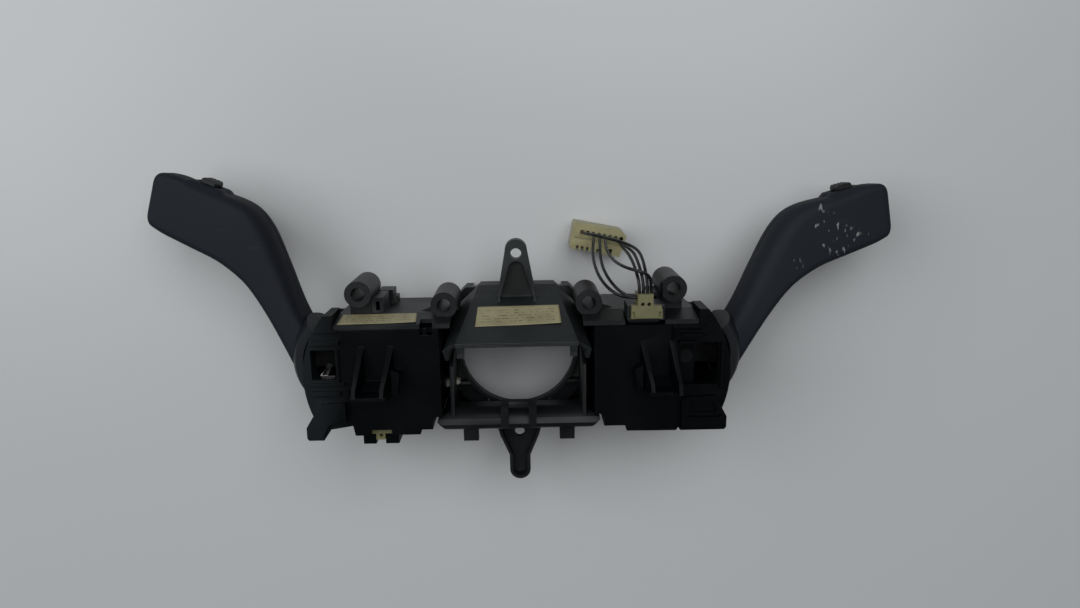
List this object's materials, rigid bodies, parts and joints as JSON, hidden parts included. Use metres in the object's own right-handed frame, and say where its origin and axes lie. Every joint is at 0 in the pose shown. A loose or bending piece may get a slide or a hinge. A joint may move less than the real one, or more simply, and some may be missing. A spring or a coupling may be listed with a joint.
{
  "type": "combination stalk switch",
  "caption": "Steering column switch: a hooded collar carries a lighting module and a wiper module, each with a cranked stalk that tilts, pulls and has a slider.",
  "frame": {"origin": "on the steering column axis, in the plane of the drum rim on the driver side", "axes": "+Z along the column towards the dash side that carries the connectors, +Y up in the vehicle, +X towards the wiper stalk"},
  "size_m": [0.3121, 0.1363, 0.067],
  "materials": {
    "carrier_plastic": "fine grained black moulding, dusty in the corners",
    "module_plastic": "near black moulding",
    "stalk_plastic": "soft dark grey grain with polished edges",
    "knob_plastic": "slightly paler grey, fine ribs",
    "lever_plastic": "glass-filled black nylon",
    "white_plastic": "natural acetal",
    "cream_plastic": "cream connector plastic",
    "socket_plastic": "dark socket shell",
    "harness_plastic": "cream connector plastic",
    "label": "bare pale label stock",
    "board": "green laminate",
    "contact_brass": "bright spring contact",
    "pin_steel": "ground pin",
    "spring_steel": "spring wire",
    "screw_steel": "zinc plated",
    "wire_brown": "wire insulation",
    "wire_white": "wire insulation",
    "wire_grey": "wire insulation",
    "wire_black": "wire insulation",
    "wire_red": "wire insulation",
    "wire_green": "wire insulation"
  },
  "bodies": {
    "root": {"carrier_frame": "carrier_plastic", "hood_cover": "carrier_plastic", "hood_label": "label", "module_screws": "screw_steel", "left_label": "label", "left_connector": "cream_plastic", "right_connector": "socket_plastic", "right_plug": "cream_plastic", "harness_connector": "harness_plastic", "left_contact_clip": "contact_brass", "left_pawl_spring": "spring_steel", "wire_1": "wire_brown", "wire_2": "wire_white", "wire_3": "wire_grey", "wire_4": "wire_black", "wire_5": "wire_red", "wire_6": "wire_green", "left_housing": "module_plastic", "left_cover": "module_plastic", "left_board": "board", "left_detent_cam": "white_plastic", "right_housing": "module_plastic", "right_cover": "module_plastic", "right_board": "board", "right_detent_cam": "white_plastic"},
    "left_yoke": {"left_carriage": "lever_plastic", "left_pivot_pin": "pin_steel", "left_wiper": "contact_brass"},
    "left_lever": {"left_lever_core": "lever_plastic", "left_stalk_rear_shell": "stalk_plastic", "left_stalk_front_shell": "stalk_plastic", "left_slider_board": "board", "left_detent_spring": "spring_steel"},
    "left_slider": {"left_slider_knob": "knob_plastic"},
    "left_plunger": {"left_detent_plunger": "white_plastic"},
    "right_yoke": {"right_carriage": "lever_plastic", "right_pivot_pin": "pin_steel", "right_wiper": "contact_brass"},
    "right_lever": {"right_lever_core": "lever_plastic", "right_stalk_rear_shell": "stalk_plastic", "right_stalk_front_shell": "stalk_plastic", "right_slider_board": "board", "right_detent_spring": "spring_steel"},
    "right_slider": {"right_slider_knob": "knob_plastic"},
    "right_plunger": {"right_detent_plunger": "white_plastic"},
    "left_pawl": {"left_cancel_pawl": "white_plastic"}
  },
  "joints": [
    {"name": "left_tilt", "type": "hinge", "parent": "root", "child": "left_yoke", "pos_m": [-0.07, 0.002, 0.034], "axis": [0, 0, -1], "range_deg": [-9, 9]},
    {"name": "left_pull", "type": "hinge", "parent": "left_yoke", "child": "left_lever", "pos_m": [-0.07, 0.002, 0.034], "axis": [-0.0593, -0.9982, 0], "range_deg": [-6, 6], "stiffness_Nm_per_rad": 3},
    {"name": "left_slider_slide", "type": "slide", "parent": "left_lever", "child": "left_slider", "axis": [-0.9278, 0.3622, -0.0895], "range_m": [-0.003, 0.003]},
    {"name": "left_plunger_slide", "type": "slide", "parent": "left_lever", "child": "left_plunger", "axis": [-0.9982, 0.0593, 0], "range_m": [0, 0.0015], "stiffness_N_per_m": 400, "springref_m": -0.001, "deforming": ["left_detent_spring"]},
    {"name": "right_tilt", "type": "hinge", "parent": "root", "child": "right_yoke", "pos_m": [0.07, 0.002, 0.034], "axis": [0, 0, 1], "range_deg": [-5, 14]},
    {"name": "right_pull", "type": "hinge", "parent": "right_yoke", "child": "right_lever", "pos_m": [0.07, 0.002, 0.034], "axis": [0.0593, 0.9982, 0], "range_deg": [-6, 6], "stiffness_Nm_per_rad": 3},
    {"name": "right_slider_slide", "type": "slide", "parent": "right_lever", "child": "right_slider", "axis": [0.9642, 0.2498, -0.0895], "range_m": [-0.003, 0.003]},
    {"name": "right_plunger_slide", "type": "slide", "parent": "right_lever", "child": "right_plunger", "axis": [0.9982, -0.0593, 0], "range_m": [0, 0.0015], "stiffness_N_per_m": 400, "springref_m": -0.001, "deforming": ["right_detent_spring"]},
    {"name": "left_pawl_swing", "type": "hinge", "parent": "root", "child": "left_pawl", "pos_m": [-0.0372, -0.014, 0.029], "axis": [0, 0, 1], "range_deg": [-8, 8], "stiffness_Nm_per_rad": 0.02, "deforming": ["left_pawl_spring"]}
  ]
}
